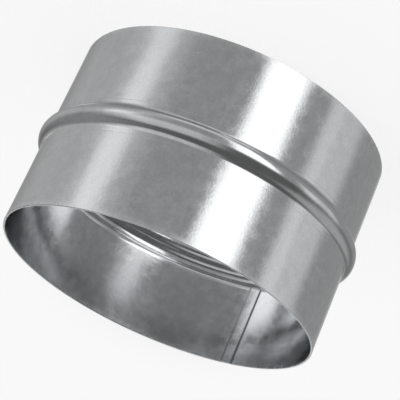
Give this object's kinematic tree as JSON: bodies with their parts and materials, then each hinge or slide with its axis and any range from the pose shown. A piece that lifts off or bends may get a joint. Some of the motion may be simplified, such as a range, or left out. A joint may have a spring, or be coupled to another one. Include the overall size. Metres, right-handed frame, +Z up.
{
  "type": "duct connector sleeve",
  "caption": "Short galvanised sheet sleeve with a rolled stop bead round its middle, pushed into the ends of two round ducts to join them.",
  "frame": {"origin": "centre of the lower rim, in the plane on which the sleeve stands", "axes": "+Z up the axis of the duct, +Y towards the lengthwise lap seam, +X across"},
  "size_m": [0.1296, 0.1296, 0.0763],
  "materials": {
    "galvanised_sheet": "bright hot-dip galvanised, fine spangle, half gloss"
  },
  "bodies": {
    "root": {"sleeve": "galvanised_sheet"}
  },
  "joints": []
}
